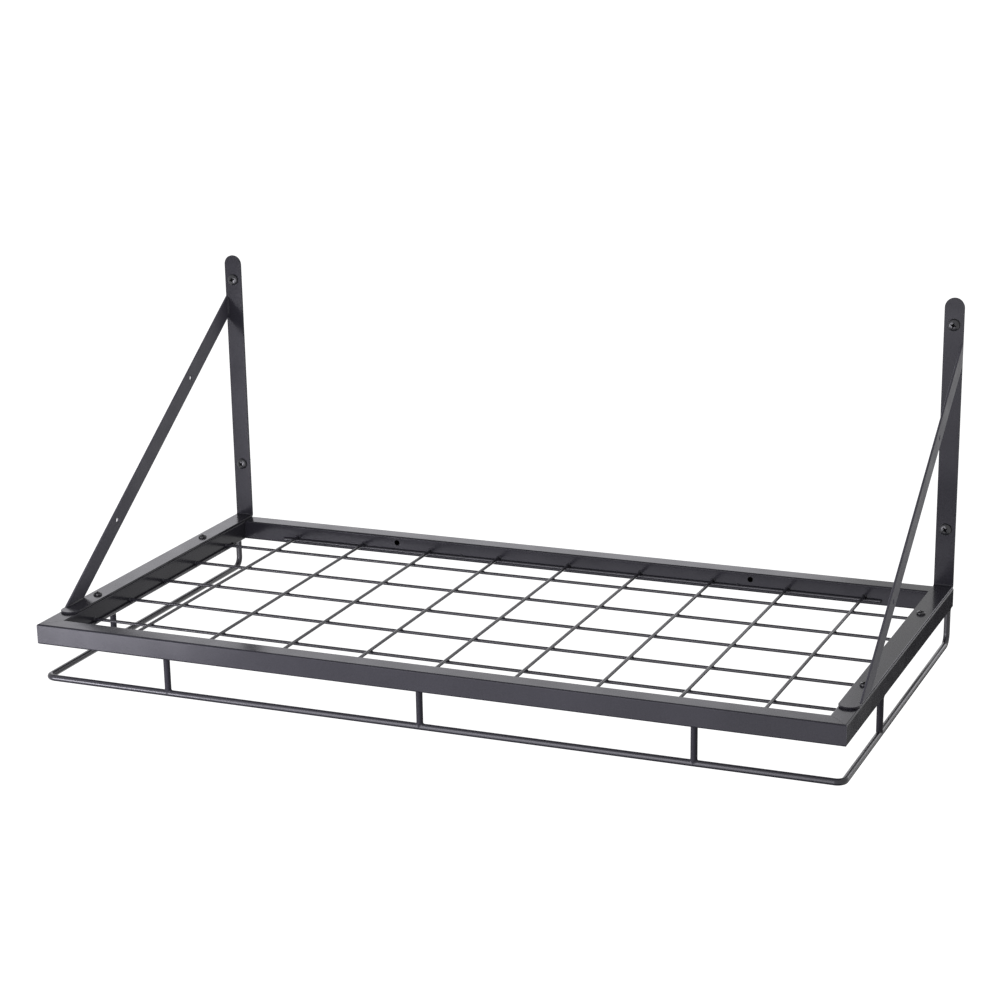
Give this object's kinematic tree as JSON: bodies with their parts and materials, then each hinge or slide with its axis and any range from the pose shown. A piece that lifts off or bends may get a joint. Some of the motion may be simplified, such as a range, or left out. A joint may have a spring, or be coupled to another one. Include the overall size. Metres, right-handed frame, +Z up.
{
  "type": "wall-mounted pot rack",
  "caption": "Wall-mounted steel shelf with a tube frame, wire grid and braced strap brackets, and a round rail below it for hanging pots and pans on hooks.",
  "frame": {"origin": "middle of the four wall screws, on the wall plane", "axes": "+X along the wall to the viewer's right, +Y into the wall, +Z up"},
  "size_m": [0.762, 0.406, 0.332],
  "materials": {
    "black_powder_coat": "satin black powder coat on steel",
    "black_screw": "black coated steel, slightly glossier than the frame",
    "plated_steel": "zinc plated steel"
  },
  "bodies": {
    "root": {"back_rail": "black_powder_coat", "front_post_1": "black_powder_coat", "front_post_2": "black_powder_coat", "front_post_3": "black_powder_coat", "front_rail": "black_powder_coat", "grid_border_wire_back": "black_powder_coat", "grid_border_wire_front": "black_powder_coat", "grid_border_wire_left": "black_powder_coat", "grid_border_wire_right": "black_powder_coat", "grid_cross_wire_1": "black_powder_coat", "grid_cross_wire_2": "black_powder_coat", "grid_cross_wire_3": "black_powder_coat", "grid_cross_wire_4": "black_powder_coat", "grid_cross_wire_5": "black_powder_coat", "grid_cross_wire_6": "black_powder_coat", "grid_cross_wire_7": "black_powder_coat", "grid_cross_wire_8": "black_powder_coat", "grid_cross_wire_9": "black_powder_coat", "grid_long_wire_1": "black_powder_coat", "grid_long_wire_2": "black_powder_coat", "grid_long_wire_3": "black_powder_coat", "grid_long_wire_4": "black_powder_coat", "grid_long_wire_5": "black_powder_coat", "hanging_rail": "black_powder_coat", "left_brace": "black_powder_coat", "left_post": "black_powder_coat", "left_rail": "black_powder_coat", "left_strap": "black_powder_coat", "leg_screws": "black_screw", "right_brace": "black_powder_coat", "right_post": "black_powder_coat", "right_rail": "black_powder_coat", "right_strap": "black_powder_coat", "rivet_nuts": "plated_steel", "wall_screws": "black_screw"}
  },
  "joints": []
}
